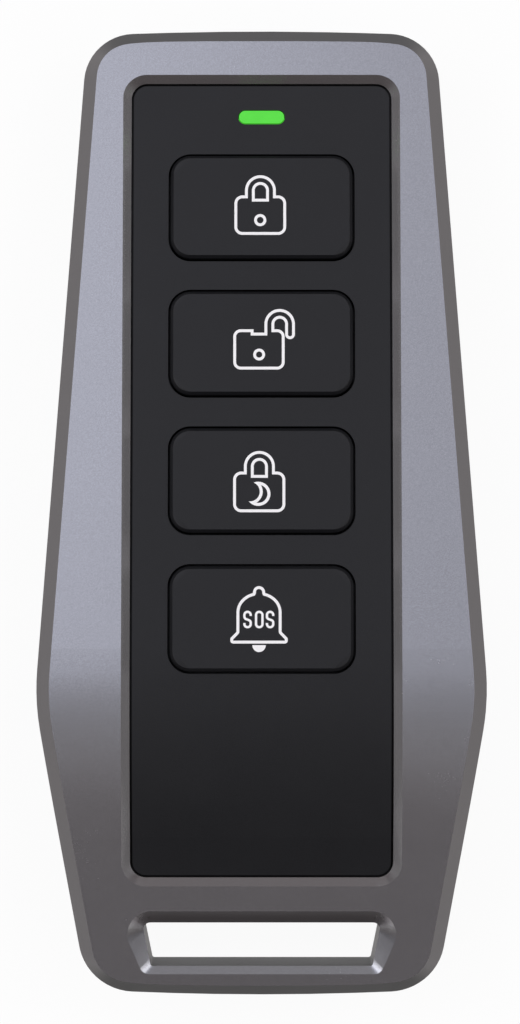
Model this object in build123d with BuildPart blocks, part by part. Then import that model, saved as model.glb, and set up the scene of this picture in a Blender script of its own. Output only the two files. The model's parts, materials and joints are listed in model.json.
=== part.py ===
from build123d import *
import os
from math import acos, atan2, cos, hypot, sin, sqrt, tan

# Hand-held wireless alarm remote, lying on its back.
# +Z comes out of the keys, +Y points to the lamp end and +X to the right of a person reading the keys.
# The origin lies under the middle of the outline, on the flat of the back.
# Lengths are in millimetres.
# "depth" is always measured square to the face, downwards from the face of the frame.

# Outline in plan
body_length = 78.3
lamp_end_width = 28.4
lamp_end_bulge = 0.35
strap_end_width = 28.24
strap_end_bulge = 0.42
bend_width = 36.3
bend_from_strap_end = 24.0
bend_radius = 20.0
lamp_corner_radius = 4.1
strap_corner_radius = 4.5

# Face seen from the side: a slope to each end and a round crown between them
crown_height = 12.6
crown_from_strap_end = 22.75
crown_radius = 62.7
lamp_end_height = 7.98
strap_end_height = 9.78

# Back seen from the side: flat, then rising to the strap end
back_bend_from_strap_end = 21.15
back_bend_radius = 40.0
back_end_height = 2.97

# Front frame
frame_skirt_depth = 5.0
frame_wall = 1.3
frame_plate = 1.35
frame_chamfer_width = 1.13
frame_chamfer_depth = 1.8

# Window in the frame
window_width = 21.06
window_from_lamp_end = 4.51
window_from_slot = 3.77
window_corner_radius = 1.28
window_chamfer_width = 0.65
window_chamfer_depth = 0.7

# Strap slot
slot_from_strap_end = 2.58
slot_height = 3.47
slot_lamp_width = 19.2
slot_strap_width = 17.85
slot_lamp_corner_radius = 0.5
slot_strap_corner_radius = 0.2
slot_rim_overrun = 0.3
slot_rim_lamp = 1.1
slot_rim_lamp_side = 2.1
slot_rim_lamp_depth = 1.2
slot_rim_lamp_corner_radius = 1.95
slot_rim_strap = 0.6
slot_rim_strap_side = 0.61
slot_rim_strap_depth = 0.55
slot_rim_strap_corner_radius = 0.8
slot_wall = 1.1
slot_cover_clearance = 0.4
slot_cover_chamfer = 0.6

# Inner panel
panel_depth = 0.7
panel_underside = 2.2
panel_gap = 0.19
panel_side_gap = 0.2
seat_gap = 0.03

# Keys, in a row that starts below the lamp
key_names = ["sos", "night", "unlock", "lock"]
key_pitch = 11.08
key_opening_width = 15.03
key_opening_height = 8.77
key_opening_radius = 1.8
key_gap = 0.19
key_top_depth = 0.2
key_edge_chamfer = 0.24
key_flange_overlap = 0.5
key_flange_gap = 0.12
key_flange_thickness = 0.6
key_wall = 1.2
key_roof = 1.1
key_post_width = 5.0
key_post_height = 3.4
key_travel = 0.3

# Lamp
lamp_from_window_end = 2.67
lock_key_from_lamp = 7.44
lens_width = 3.64
lens_height = 1.02
lens_gap = 0.08
lens_proud = 0.05
lens_flange = 0.6
lens_flange_thickness = 0.6
led_length = 1.6
led_width = 0.8
led_height = 0.7
led_gap = 0.15

# Keypad mat
mat_sheet = 0.4
mat_wall = 0.8
mat_margin = 0.3
mat_boss_gap = 0.05
mat_plunger_size = 2.0
mat_rib = 0.7

# Tactile switches
switch_size = 4.5
switch_base_height = 1.1
switch_plate = 0.2
switch_floor = 0.2
switch_cavity = 3.3
switch_stem_diameter = 2.0
switch_stem_flange_width = 2.9
switch_stem_flange = 0.45
switch_stem_proud = 0.25
switch_running_gap = 0.05
switch_spring_thickness = 0.08
switch_spring_width = 1.2
switch_spring_crown = 1.1
switch_spring_foot = 0.5
switch_lead_width = 0.7
switch_lead_reach = 0.9
switch_lead_thickness = 0.15
switch_lead_pitch = 3.0

# Circuit board
board_top_depth = 5.6
board_thickness = 0.8
board_width = 23.8
board_past_window = 0.85
board_post_gap = 1.36

# Coin cell, a standard 20 by 3.2 lithium cell
cell_from_board_end = 1.2
cell_diameter = 20.0
cell_height = 3.2
cell_cap_diameter = 16.8
cell_shoulder = 0.35
cell_seat_gap = 0.05

# Cell contacts
minus_contact_size = 6.0
minus_contact_thickness = 0.1
clip_sheet = 0.25
clip_width = 9.0
clip_side_gap = 0.35
clip_foot = 1.1
clip_finger_width = 4.0
clip_finger_length = 7.0
clip_slit = 0.4

# Board components
chip_length = 8.65
chip_width = 3.9
chip_height = 1.45
chip_chamfer = 0.18
chip_standoff = 0.1
chip_from_cell = 7.0
chip_lead_count = 7
chip_lead_pitch = 1.27
chip_lead_width = 0.41
chip_lead_thickness = 0.2
chip_lead_span = 6.0
resonator_size = 3.8
resonator_height = 1.3
resonator_chamfer = 0.13
resonator_x = 4.2
transistor_length = 2.9
transistor_width = 1.3
transistor_height = 1.0
transistor_x = -3.4
radio_from_chip = 8.9
capacitor_size = (1.6, 0.8, 0.8)
capacitors_from_chip = [(-8.2, -0.4), (-8.2, 1.6), (8.2, 0.6), (0.4, 6.0), (0.4, 11.4)]
resistor_size = (1.6, 0.8, 0.45)
resistors_from_chip = [(-8.2, 3.6), (8.2, 3.6), (-3.4, 12.8), (4.2, 13.6)]
antenna_width = 14.0
antenna_from_radio = 7.5
antenna_end_margin = 0.9
antenna_track = 1.0
antenna_feed_gap = 3.0
antenna_thickness = 0.07

# Board screws, one on each side, each beside the gap that follows a key
board_screw_x = 10.4
board_screws_beside = {"night": -1, "unlock": 1}
board_screw_thread = 1.2
board_screw_head_diameter = 2.2
board_screw_head = 0.7
board_screw_reach = 2.8
board_standoff_diameter = 2.6

# Rear cover
cover_floor = 1.2
cover_inset = 0.12
cover_chamfer = 1.2
lip_gap = 0.1
lip_thickness = 0.7
lip_height = 1.2
lip_finger_length = 5.0
lip_finger_places = [-20.0, 26.0]

# Tongues of the rear cover, hooked into pockets in the lamp end of the frame
tongue_x = 6.0
tongue_width = 3.6
tongue_height = 0.6
tongue_reach = 0.55
tongue_depth = 4.6
tongue_gap = 0.1

# Rear cover screws, at the strap end
screw_from_strap_end = 10.55
screw_seat_z = 3.2
cover_screw_thread = 1.6
cover_screw_length = 4.6
cover_screw_head_diameter = 2.8
cover_screw_head = 1.0
cover_screw_recess_diameter = 3.2
screw_seat_thickness = 1.95
screw_post_diameter = 4.4
screw_boss_diameter = 3.0
screw_boss_gap = 0.05
screw_lip_gap = 0.15
screw_hole_clearance = 0.1
thread_gap = 0.05

# Worked out from the sizes above: the outline and the face
half_length = body_length / 2
lamp_corner_y = half_length - lamp_end_bulge
strap_corner_y = strap_end_bulge - half_length
bend_y = bend_from_strap_end - half_length
crown_y = crown_from_strap_end - half_length
back_bend_y = back_bend_from_strap_end - half_length
crown_centre_z = crown_height - crown_radius
back_rise = atan2(back_end_height, back_bend_from_strap_end)
side_reach = half_length + frame_wall


def face_fall(reach, end_height):
    """Angle, in radians, of a face that comes down to end_height at a reach from the top of the crown."""
    rise = end_height - crown_centre_z
    return atan2(reach, rise) - acos(crown_radius / hypot(reach, rise))


lamp_fall = face_fall(half_length - crown_y, lamp_end_height)
strap_fall = face_fall(crown_from_strap_end, strap_end_height)
face = Plane(
    origin=(0, crown_y + crown_radius * sin(lamp_fall), crown_centre_z + crown_radius * cos(lamp_fall)),
    x_dir=(1, 0, 0),
    z_dir=(0, sin(lamp_fall), cos(lamp_fall)),
)
strap_face = Plane(
    origin=(0, crown_y - crown_radius * sin(strap_fall), crown_centre_z + crown_radius * cos(strap_fall)),
    x_dir=(1, 0, 0),
    z_dir=(0, -sin(strap_fall), cos(strap_fall)),
)
outward = Axis(face.origin, face.z_dir)


def position_of(y, depth):
    """Position along the lamp side of the face of a place at a given y and depth."""
    return (y - face.origin.Y + depth * sin(lamp_fall)) / cos(lamp_fall)


# Window and strap slot
slot_strap_y = slot_from_strap_end - half_length
slot_lamp_y = slot_strap_y + slot_height
window_lamp_y = half_length - window_from_lamp_end
window_strap_y = slot_lamp_y + window_from_slot
window_middle = (window_lamp_y + window_strap_y) / 2
window_length = window_lamp_y - window_strap_y
flange_middle_depth = (frame_plate + seat_gap + panel_underside) / 2

# Lamp and keys
lamp_position = position_of(window_lamp_y, 0) - lamp_from_window_end
lock_key_position = lamp_position - lock_key_from_lamp
key_positions = [lock_key_position - row * key_pitch for row in reversed(range(len(key_names)))]
keys_middle = (key_positions[0] + key_positions[-1]) / 2
key_width = key_opening_width - 2 * key_gap
key_height = key_opening_height - 2 * key_gap
key_radius = key_opening_radius - key_gap
key_flange_width = key_opening_width + 2 * key_flange_overlap
key_flange_height = key_opening_height + 2 * key_flange_overlap
key_flange_depth = panel_underside + key_flange_gap
key_bottom_depth = key_flange_depth + key_flange_thickness
lamp_side_point = face.from_local_coords((window_width / 2 + window_chamfer_width, key_positions[1], 0))

# Mat and switches
mat_sheet_depth = key_bottom_depth + key_travel + seat_gap
mat_width = key_flange_width + 2 * (mat_margin + mat_rib)
mat_length = key_positions[-1] - key_positions[0] + key_flange_height + 2 * (mat_margin + mat_rib)
switch_top_depth = board_top_depth - switch_base_height
switch_plate_depth = switch_top_depth - switch_plate
switch_opening = switch_stem_diameter + 2 * switch_running_gap
stem_top_depth = switch_plate_depth - switch_stem_proud
stem_flange_depth = switch_top_depth + switch_running_gap
stem_bottom_depth = stem_flange_depth + switch_stem_flange
mat_plunger_depth = stem_top_depth - mat_boss_gap
led_top_depth = board_top_depth - led_height

# Rear cover and its screws
lip_inset = frame_wall + lip_gap
cover_wall = lip_inset + lip_thickness
inner_end_y = half_length - frame_wall
screw_y = screw_from_strap_end - half_length
narrowing = (bend_width - strap_end_width) / 2 / (bend_y - strap_corner_y)
screw_half_width = bend_width / 2 - (bend_y - screw_y) * narrowing
screw_x = screw_half_width - cover_wall - screw_lip_gap - screw_boss_diameter / 2
screw_places = [(-screw_x, screw_y), (screw_x, screw_y)]
screw_joint_z = screw_seat_z + screw_seat_thickness

# Board and what it carries
board_bottom_depth = board_top_depth + board_thickness
board_lamp_position = position_of(window_lamp_y, 0) + board_past_window
board_strap_y = screw_y + screw_post_diameter / 2 + board_post_gap
board_strap_position = position_of(board_strap_y, board_bottom_depth)
board_screw_positions = [
    (side * board_screw_x, key_positions[key_names.index(key)] + key_pitch / 2)
    for key, side in board_screws_beside.items()
]
cell_position = board_strap_position + cell_from_board_end + cell_diameter / 2
cell_top_depth = board_bottom_depth + minus_contact_thickness + cell_seat_gap
cell_bottom_depth = cell_top_depth + cell_height
clip_depth = cell_bottom_depth + clip_sheet
chip_position = cell_position + cell_diameter / 2 + chip_from_cell
radio_position = chip_position + radio_from_chip
antenna_start_position = radio_position + antenna_from_radio


# Outline of the body in plan
with BuildSketch() as body_outline:
    with BuildLine():
        ThreePointArc(
            (-lamp_end_width / 2, lamp_corner_y), (0, half_length), (lamp_end_width / 2, lamp_corner_y)
        )
        Polyline(
            (lamp_end_width / 2, lamp_corner_y),
            (bend_width / 2, bend_y),
            (strap_end_width / 2, strap_corner_y),
        )
        ThreePointArc(
            (strap_end_width / 2, strap_corner_y), (0, -half_length), (-strap_end_width / 2, strap_corner_y)
        )
        Polyline(
            (-strap_end_width / 2, strap_corner_y),
            (-bend_width / 2, bend_y),
            (-lamp_end_width / 2, lamp_corner_y),
        )
    make_face()
    fillet(body_outline.vertices().group_by(Axis.Y)[-1], lamp_corner_radius)
    fillet(body_outline.vertices().group_by(Axis.Y)[0], strap_corner_radius)
    fillet(body_outline.vertices().group_by(Axis.X)[0], bend_radius)
    fillet(body_outline.vertices().group_by(Axis.X)[-1], bend_radius)


def draw_outline(inset):
    """Draw the outline of the body, moved inwards by inset, in the open sketch."""
    add(body_outline.sketch)
    if inset > 0:
        offset(amount=-inset, mode=Mode.REPLACE)


def face_curve(depth):
    """Draw the face seen from the side, moved down by depth, and return its two ends."""
    radius = crown_radius - depth
    ends = []
    starts = []
    for direction, fall in ((1, lamp_fall), (-1, strap_fall)):
        start = (crown_y + direction * radius * sin(fall), crown_centre_z + radius * cos(fall))
        end_y = direction * side_reach
        drop = (end_y - start[0]) * direction * tan(fall)
        starts.append(start)
        ends.append((end_y, start[1] - drop))
    Line(ends[1], starts[1])
    ThreePointArc(starts[1], (crown_y, crown_centre_z + radius), starts[0])
    Line(starts[0], ends[0])
    return ends


def face_z(y, depth):
    """Height of the face, moved down by depth, at a place along the body."""
    radius = crown_radius - depth
    for direction, fall in ((1, lamp_fall), (-1, strap_fall)):
        past = (y - crown_y) * direction - radius * sin(fall)
        if past > 0:
            return crown_centre_z + radius * cos(fall) - past * tan(fall)
    return crown_centre_z + sqrt(radius**2 - (y - crown_y) ** 2)


def back_z(y):
    """Height of the back at a place along the body."""
    return max(0.0, (back_bend_y - y) * tan(back_rise))


def draw_face_band(top_depth, bottom_depth):
    """Draw the space between two depths under the face, seen from the side."""
    with BuildLine() as border:
        top_ends = face_curve(top_depth)
        bottom_ends = face_curve(bottom_depth)
        Line(top_ends[0], bottom_ends[0])
        Line(top_ends[1], bottom_ends[1])
    make_face(border.edges())


def draw_cover_band(lift, top_depth):
    """Draw the space from the back, raised by lift, up to a depth under the face, seen from the side."""
    bend_z = lift
    strap_z = bend_z + (side_reach + back_bend_y) * tan(back_rise)
    with BuildLine() as border:
        top_ends = face_curve(top_depth)
        FilletPolyline(
            (side_reach, bend_z),
            (back_bend_y, bend_z),
            (-side_reach, strap_z),
            radius=back_bend_radius,
        )
        Line(top_ends[0], (side_reach, bend_z))
        Line(top_ends[1], (-side_reach, strap_z))
    make_face(border.edges())


def draw_slot_frame(lamp_y, lamp_width, lamp_radius, strap_y, strap_width, strap_radius):
    """Draw a shape with two parallel edges, rounded at each of them."""
    with BuildLine() as border:
        Polyline(
            (-lamp_width / 2, lamp_y),
            (lamp_width / 2, lamp_y),
            (strap_width / 2, strap_y),
            (-strap_width / 2, strap_y),
            close=True,
        )
    make_face(border.edges())
    fillet(vertices().group_by(Axis.Y)[-1], lamp_radius)
    fillet(vertices().group_by(Axis.Y)[0], strap_radius)


def draw_slot(grow):
    """Draw the strap slot, grown by the given amount all round."""
    draw_slot_frame(
        slot_lamp_y + grow,
        slot_lamp_width + 2 * grow,
        slot_lamp_corner_radius + grow,
        slot_strap_y - grow,
        slot_strap_width + 2 * grow,
        slot_strap_corner_radius + grow,
    )


def draw_slot_tunnel(inset):
    """Cut the walls round the strap slot, out to the end of the body, from the open sketch."""
    with BuildLine() as border:
        Polyline(
            (-slot_lamp_width / 2 - inset, slot_lamp_y + inset),
            (slot_lamp_width / 2 + inset, slot_lamp_y + inset),
            (slot_lamp_width / 2 + inset, -body_length),
            (-slot_lamp_width / 2 - inset, -body_length),
            close=True,
        )
    make_face(border.edges(), mode=Mode.SUBTRACT)


def draw_slot_rim(depth):
    """Draw the funnel of the strap slot at a depth under the strap side of the face."""
    lamp_share = 1 - depth / slot_rim_lamp_depth
    strap_share = 1 - depth / slot_rim_strap_depth
    start_y = strap_face.origin.Y + depth * sin(strap_fall)
    draw_slot_frame(
        (slot_lamp_y + lamp_share * slot_rim_lamp - start_y) / cos(strap_fall),
        slot_lamp_width + 2 * lamp_share * slot_rim_lamp_side,
        slot_lamp_corner_radius + lamp_share * (slot_rim_lamp_corner_radius - slot_lamp_corner_radius),
        (slot_strap_y - strap_share * slot_rim_strap - start_y) / cos(strap_fall),
        slot_strap_width + 2 * strap_share * slot_rim_strap_side,
        slot_rim_strap_corner_radius,
    )


def draw_key_pattern(width, height, radius):
    """Draw one rounded rectangle at each key."""
    with Locations(*[(0, position) for position in key_positions]):
        RectangleRounded(width, height, radius)


def write(piece, name):
    """Label a finished piece and write it as a STEP file."""
    piece.part.label = name
    export_step(piece.part, f"parts/{name}.step")


os.makedirs("parts", exist_ok=True)

# Space inside the front frame, under its face plate
with BuildPart() as frame_cavity:
    with BuildSketch():
        draw_outline(frame_wall)
        draw_slot_tunnel(slot_wall)
    extrude(amount=2 * crown_height)
    with BuildSketch(Plane.YZ):
        draw_face_band(frame_plate, 2 * frame_skirt_depth)
    extrude(amount=bend_width, both=True, mode=Mode.INTERSECT)

# Front frame: a metallic bezel with a window, a strap slot and a skirt round the sides
with BuildPart() as front_frame:
    with BuildSketch():
        draw_outline(0)
    extrude(amount=2 * crown_height)
    with BuildSketch(Plane.YZ):
        draw_face_band(0, frame_skirt_depth)
    extrude(amount=bend_width, both=True, mode=Mode.INTERSECT)
    # Steep chamfer round the outside of the face
    lamp_side = front_frame.faces().sort_by_distance(lamp_side_point)[0]
    outer_edge = lamp_side.edges().sort_by(Axis.Y)[-1]
    chamfer(outer_edge, frame_chamfer_width, frame_chamfer_depth, reference=lamp_side)
    # Window, with a chamfer round its edge on the face
    with BuildSketch():
        with Locations((0, window_middle)):
            RectangleRounded(window_width, window_length, window_corner_radius)
    extrude(amount=2 * crown_height, mode=Mode.SUBTRACT)
    lamp_side = front_frame.faces().sort_by_distance(lamp_side_point)[0]
    window_edge = lamp_side.edges().sort_by_distance((0, window_lamp_y, face_z(window_lamp_y, 0)))[0]
    chamfer(window_edge, window_chamfer_width, window_chamfer_depth, reference=lamp_side)
    add(frame_cavity.part, mode=Mode.SUBTRACT)
    # Pockets for the tongues of the rear cover
    with BuildSketch(Plane.XY.offset(face_z(inner_end_y, tongue_depth) - tongue_gap)):
        with Locations((-tongue_x, inner_end_y), (tongue_x, inner_end_y)):
            Rectangle(tongue_width + 2 * tongue_gap, 2 * (tongue_reach + tongue_gap))
    extrude(amount=tongue_height + 2 * tongue_gap, mode=Mode.SUBTRACT)
    # Bosses for the rear cover screws
    with BuildSketch(Plane.XY.offset(screw_joint_z + screw_boss_gap)):
        with Locations(*screw_places):
            Circle(screw_boss_diameter / 2)
    extrude(amount=face_z(screw_y, frame_plate / 2) - screw_joint_z - screw_boss_gap)
    with BuildSketch(Plane.XY.offset(screw_joint_z)):
        with Locations(*screw_places):
            Circle(cover_screw_thread / 2 + thread_gap)
    extrude(amount=cover_screw_length - screw_seat_thickness + thread_gap, mode=Mode.SUBTRACT)
    # Strap slot with its wide rim
    with BuildSketch():
        draw_slot(0)
    extrude(amount=2 * crown_height, mode=Mode.SUBTRACT)
    for depth in (-slot_rim_overrun, slot_rim_lamp_depth + slot_rim_overrun):
        with BuildSketch(strap_face.offset(-depth)):
            draw_slot_rim(depth)
    loft(ruled=True, mode=Mode.SUBTRACT)
write(front_frame, "front_frame")

# Flange of the inner panel, lying against the underside of the face plate
with BuildPart() as panel_flange:
    with BuildSketch():
        draw_outline(frame_wall + panel_side_gap)
        draw_slot_tunnel(slot_wall + panel_side_gap)
    extrude(amount=2 * crown_height)
    with BuildSketch(Plane.YZ):
        draw_face_band(frame_plate + seat_gap, panel_underside)
    extrude(amount=bend_width, both=True, mode=Mode.INTERSECT)

# Inner panel: it fills the window, guides the keys and carries the mat and the board
with BuildPart() as front_panel:
    with BuildSketch():
        with Locations((0, window_middle)):
            RectangleRounded(
                window_width - 2 * panel_gap, window_length - 2 * panel_gap, window_corner_radius - panel_gap
            )
    extrude(amount=2 * crown_height)
    with BuildSketch(Plane.YZ):
        draw_face_band(panel_depth, panel_underside)
    extrude(amount=bend_width, both=True, mode=Mode.INTERSECT)
    add(panel_flange.part)
    # Guide wall that the mat seats against, with a rib between each two keys
    with BuildSketch(face.offset(-mat_sheet_depth + seat_gap)):
        with Locations((0, keys_middle)):
            Rectangle(mat_width, mat_length)
        with Locations(*[(0, position) for position in key_positions]):
            Rectangle(mat_width - 2 * mat_rib, key_pitch - mat_rib, mode=Mode.SUBTRACT)
    extrude(amount=mat_sheet_depth - seat_gap - flange_middle_depth)
    # Openings for the keys and the lamp lens
    with BuildSketch(face):
        draw_key_pattern(key_opening_width, key_opening_height, key_opening_radius)
    extrude(amount=-key_flange_depth, mode=Mode.SUBTRACT)
    with BuildSketch(face):
        with Locations((0, lamp_position)):
            SlotOverall(lens_width + 2 * lens_gap, lens_height + 2 * lens_gap)
    extrude(amount=-key_flange_depth, mode=Mode.SUBTRACT)
    # Room for the flanges of the keys
    with BuildSketch(face.offset(-panel_underside)):
        with Locations(*[(0, position) for position in key_positions]):
            Rectangle(key_flange_width + 2 * key_flange_gap, key_flange_height + 2 * key_flange_gap)
    extrude(amount=panel_underside - mat_sheet_depth, mode=Mode.SUBTRACT)
    # Standoffs for the circuit board
    with BuildSketch(face.offset(-board_top_depth + seat_gap)):
        with Locations(*board_screw_positions):
            Circle(board_standoff_diameter / 2)
    extrude(amount=board_top_depth - seat_gap - flange_middle_depth)
    with BuildSketch(face.offset(-board_top_depth)):
        with Locations(*board_screw_positions):
            Circle(board_screw_thread / 2 + thread_gap)
    extrude(amount=board_screw_reach + thread_gap, mode=Mode.SUBTRACT)
    # Room for the screw bosses of the frame
    with BuildSketch():
        with Locations(*screw_places):
            Circle(screw_boss_diameter / 2 + panel_gap)
    extrude(amount=2 * crown_height, mode=Mode.SUBTRACT)
write(front_panel, "front_panel")

# Keys: hollow caps with a flange that keeps them under the panel and a post that presses on the mat
for name, position in zip(key_names, key_positions):
    with BuildPart() as keycap:
        with BuildSketch(face.offset(-key_bottom_depth)):
            with Locations((0, position)):
                Rectangle(key_flange_width, key_flange_height)
        extrude(amount=key_flange_thickness)
        with BuildSketch(face.offset(-key_bottom_depth)):
            with Locations((0, position)):
                RectangleRounded(key_width, key_height, key_radius)
        extrude(amount=key_bottom_depth - key_top_depth)
        chamfer(keycap.faces().sort_by(outward)[-1].edges(), key_edge_chamfer)
        with BuildSketch(face.offset(-key_bottom_depth)):
            with Locations((0, position)):
                Rectangle(key_width - 2 * key_wall, key_height - 2 * key_wall)
                Rectangle(key_post_width, key_post_height, mode=Mode.SUBTRACT)
        extrude(amount=key_bottom_depth - key_top_depth - key_roof, mode=Mode.SUBTRACT)
    write(keycap, f"keycap_{name}")

# Keypad mat: one silicone sheet with a pad over and a plunger under each key, on a wall round its edge
with BuildPart() as keypad_mat:
    with BuildSketch(face.offset(-mat_sheet_depth - mat_sheet)):
        with Locations((0, keys_middle)):
            Rectangle(mat_width, mat_length)
    extrude(amount=mat_sheet)
    with BuildSketch(face.offset(-board_top_depth + seat_gap)):
        with Locations((0, keys_middle)):
            Rectangle(mat_width, mat_length)
            Rectangle(mat_width - 2 * mat_wall, mat_length - 2 * mat_wall, mode=Mode.SUBTRACT)
    extrude(amount=board_top_depth - seat_gap - mat_sheet_depth)
    with BuildSketch(face.offset(-mat_sheet_depth)):
        with Locations(*[(0, position) for position in key_positions]):
            Rectangle(key_post_width, key_post_height)
    extrude(amount=mat_sheet_depth - key_bottom_depth - mat_boss_gap)
    with BuildSketch(face.offset(-mat_plunger_depth)):
        with Locations(*[(0, position) for position in key_positions]):
            Rectangle(mat_plunger_size, mat_plunger_size)
    extrude(amount=mat_plunger_depth - mat_sheet_depth)
write(keypad_mat, "keypad_mat")

# Light guide: a lens in the panel, a flange under it and a leg down to the lamp
lens_flange_depth = panel_underside + seat_gap + lens_flange_thickness
with BuildPart() as light_guide:
    with BuildSketch(face.offset(-lens_flange_depth)):
        with Locations((0, lamp_position)):
            SlotOverall(lens_width, lens_height)
    extrude(amount=lens_flange_depth - panel_depth + lens_proud)
    with BuildSketch(face.offset(-lens_flange_depth)):
        with Locations((0, lamp_position)):
            Rectangle(lens_width + 2 * lens_flange, lens_height + 2 * lens_flange)
    extrude(amount=lens_flange_thickness)
    with BuildSketch(face.offset(-lens_flange_depth)):
        with Locations((0, lamp_position)):
            Rectangle(led_length, led_width)
    extrude(amount=lens_flange_depth - led_top_depth + led_gap)
write(light_guide, "light_guide")

# Status lamp on the board, under the light guide
with BuildPart() as status_led:
    with BuildSketch(face.offset(-board_top_depth)):
        with Locations((0, lamp_position)):
            Rectangle(led_length, led_width)
    extrude(amount=led_height)
write(status_led, "status_led")

# Tactile switches: base, metal cover, snap spring and stem under each key
for name, position in zip(key_names, key_positions):
    with BuildPart() as switch_base:
        with BuildSketch(face.offset(-board_top_depth)):
            with Locations((0, position)):
                Rectangle(switch_size, switch_size)
        extrude(amount=switch_base_height)
        with BuildSketch(face.offset(-board_top_depth + switch_floor)):
            with Locations((0, position)):
                Rectangle(switch_cavity, switch_cavity)
        extrude(amount=switch_base_height, mode=Mode.SUBTRACT)
    write(switch_base, f"switch_base_{name}")

    with BuildPart() as switch_cover:
        with BuildSketch(face.offset(-switch_top_depth)):
            with Locations((0, position)):
                Rectangle(switch_size, switch_size)
                Rectangle(switch_opening, switch_opening, mode=Mode.SUBTRACT)
        extrude(amount=switch_plate)
    write(switch_cover, f"switch_cover_{name}")

    with BuildPart() as switch_stem:
        with BuildSketch(face.offset(-stem_bottom_depth)):
            with Locations((0, position)):
                Rectangle(switch_stem_flange_width, switch_stem_flange_width)
        extrude(amount=switch_stem_flange)
        with BuildSketch(face.offset(-stem_bottom_depth)):
            with Locations((0, position)):
                Circle(switch_stem_diameter / 2)
        extrude(amount=stem_bottom_depth - stem_top_depth)
    write(switch_stem, f"switch_stem_{name}")

    spring_end = switch_cavity / 2 - switch_running_gap
    spring_low = switch_floor + seat_gap - board_top_depth
    spring_high = -stem_bottom_depth - seat_gap - switch_spring_thickness
    with BuildPart() as switch_spring:
        with BuildSketch(Plane(face.from_local_coords((0, position, 0)), face.x_dir, -face.y_dir)):
            with BuildLine():
                Polyline(
                    (0, spring_high),
                    (switch_spring_crown / 2, spring_high),
                    (spring_end - switch_spring_foot, spring_low),
                    (spring_end, spring_low),
                    (spring_end, spring_low + switch_spring_thickness),
                    (spring_end - switch_spring_foot, spring_low + switch_spring_thickness),
                    (switch_spring_crown / 2, spring_high + switch_spring_thickness),
                    (0, spring_high + switch_spring_thickness),
                    close=True,
                )
            make_face()
            mirror(about=Plane.YZ)
        extrude(amount=switch_spring_width / 2, both=True)
    write(switch_spring, f"switch_spring_{name}")

# Terminals of the switches, soldered to the board
with BuildPart() as switch_terminals:
    with BuildSketch(face.offset(-board_top_depth)):
        with Locations(*[(0, position) for position in key_positions]):
            with GridLocations(switch_size + switch_lead_reach, switch_lead_pitch, 2, 2):
                Rectangle(switch_lead_reach, switch_lead_width)
    extrude(amount=switch_lead_thickness)
write(switch_terminals, "switch_terminals")

# Circuit board, parallel to the lamp side of the face
with BuildPart() as circuit_board:
    with BuildSketch(face.offset(-board_bottom_depth)):
        with Locations((0, (board_lamp_position + board_strap_position) / 2)):
            Rectangle(board_width, board_lamp_position - board_strap_position)
        with Locations(*board_screw_positions):
            Circle(board_screw_thread / 2 + screw_hole_clearance, mode=Mode.SUBTRACT)
    extrude(amount=board_thickness)
write(circuit_board, "circuit_board")

# Screws that hold the board to the panel
with BuildPart() as board_screws:
    with BuildSketch(face.offset(-board_bottom_depth - board_screw_head)):
        with Locations(*board_screw_positions):
            Circle(board_screw_head_diameter / 2)
    extrude(amount=board_screw_head)
    with BuildSketch(face.offset(-board_bottom_depth)):
        with Locations(*board_screw_positions):
            Circle(board_screw_thread / 2)
    extrude(amount=board_thickness + board_screw_reach)
write(board_screws, "board_screws")

# Coin cell: the can is the plus side and faces the back, the smaller cap is the minus side
with BuildPart() as coin_cell:
    with BuildSketch(face.offset(-cell_bottom_depth)):
        with Locations((0, cell_position)):
            Circle(cell_diameter / 2)
    extrude(amount=cell_height - cell_shoulder)
    with BuildSketch(face.offset(-cell_top_depth - cell_shoulder)):
        with Locations((0, cell_position)):
            Circle(cell_cap_diameter / 2)
    extrude(amount=cell_shoulder)
write(coin_cell, "coin_cell")

# Minus contact: a gilded pad on the board
with BuildPart() as minus_contact:
    with BuildSketch(face.offset(-board_bottom_depth - minus_contact_thickness)):
        with Locations((0, cell_position)):
            Rectangle(minus_contact_size, minus_contact_size)
    extrude(amount=minus_contact_thickness)
write(minus_contact, "minus_contact")

# Cell clip: a folded strip over the cell, soldered at its two feet, with a spring finger
clip_inside = cell_diameter / 2 + clip_side_gap
with BuildPart() as battery_clip:
    clip_plane = Plane(face.from_local_coords((0, cell_position - clip_width / 2, 0)), face.x_dir, face.y_dir)
    with BuildSketch(clip_plane):
        with BuildLine():
            Polyline(
                (0, clip_depth),
                (clip_inside + clip_sheet, clip_depth),
                (clip_inside + clip_sheet, board_bottom_depth + clip_sheet),
                (clip_inside + clip_foot, board_bottom_depth + clip_sheet),
                (clip_inside + clip_foot, board_bottom_depth),
                (clip_inside, board_bottom_depth),
                (clip_inside, cell_bottom_depth + seat_gap),
                (0, cell_bottom_depth + seat_gap),
                close=True,
            )
        make_face()
        mirror(about=Plane.YZ)
    extrude(amount=clip_width)
    with BuildSketch(face.offset(-clip_depth)):
        with Locations((0, cell_position)):
            Rectangle(clip_finger_length, clip_finger_width + 2 * clip_slit)
        with Locations((-clip_slit / 2, cell_position)):
            Rectangle(clip_finger_length - clip_slit, clip_finger_width, mode=Mode.SUBTRACT)
    extrude(amount=2 * clip_sheet, both=True, mode=Mode.SUBTRACT)
write(battery_clip, "battery_clip")

# Coding chip on the underside of the board
with BuildPart() as coding_chip:
    with BuildSketch(face.offset(-board_bottom_depth - chip_standoff - chip_height)):
        with Locations((0, chip_position)):
            Rectangle(chip_length, chip_width)
    extrude(amount=chip_height)
    chamfer(coding_chip.faces().sort_by(outward)[0].edges(), chip_chamfer)
write(coding_chip, "coding_chip")

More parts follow.
